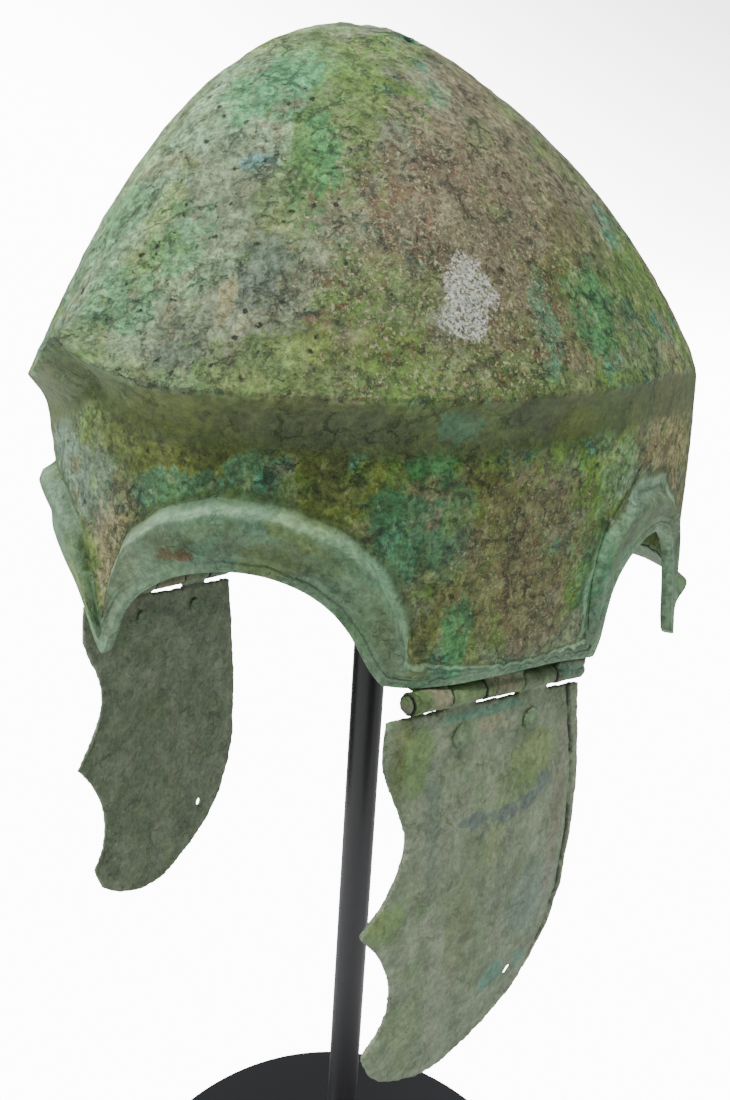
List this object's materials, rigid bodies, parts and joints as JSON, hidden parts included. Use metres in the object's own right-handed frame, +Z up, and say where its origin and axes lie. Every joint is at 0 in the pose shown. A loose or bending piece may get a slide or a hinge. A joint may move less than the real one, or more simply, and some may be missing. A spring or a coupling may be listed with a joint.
{
  "type": "greek bronze helmet on display stand",
  "caption": "Ancient Greek bronze helmet of Chalcidian form with a ridged dome, nose guard, neck guard and hinged cheekpieces, on a plain black rod and round base.",
  "frame": {"origin": "centre of the round base's underside, on the rod's centre line", "axes": "+Z up along the rod; -Y the way the helmet faces, nose first; +X the wearer's left"},
  "size_m": [0.2, 0.2514, 0.4743],
  "materials": {
    "bowl_bronze": "corroded bronze, matt green, teal and grey-brown patina",
    "cheek_bronze": "corroded bronze, grey-green patina with olive tints",
    "hinge_bronze": "corroded bronze, dark green and brown patina",
    "stand_black": "satin black paint"
  },
  "bodies": {
    "helmet": {"bowl": "bowl_bronze", "bowl_hinge_leaf_left": "hinge_bronze", "hinge_pin_left": "hinge_bronze", "bowl_hinge_leaf_right": "hinge_bronze", "hinge_pin_right": "hinge_bronze", "stand_disc": "stand_black", "stand_rod": "stand_black"},
    "cheek_left": {"cheekpiece_left": "cheek_bronze", "rivet_front_left": "hinge_bronze", "rivet_rear_left": "hinge_bronze"},
    "cheek_right": {"cheekpiece_right": "cheek_bronze", "rivet_front_right": "hinge_bronze", "rivet_rear_right": "hinge_bronze"}
  },
  "joints": [
    {"name": "cheek_left_hinge", "type": "hinge", "parent": "helmet", "child": "cheek_left", "pos_m": [0.0646, -0.0714, 0.29855], "axis": [-0.1874, -0.9796, 0.0725], "range_deg": [-20, 120]},
    {"name": "cheek_right_hinge", "type": "hinge", "parent": "helmet", "child": "cheek_right", "pos_m": [-0.0646, -0.0714, 0.29855], "axis": [-0.1874, 0.9796, -0.0725], "range_deg": [-20, 120]}
  ]
}
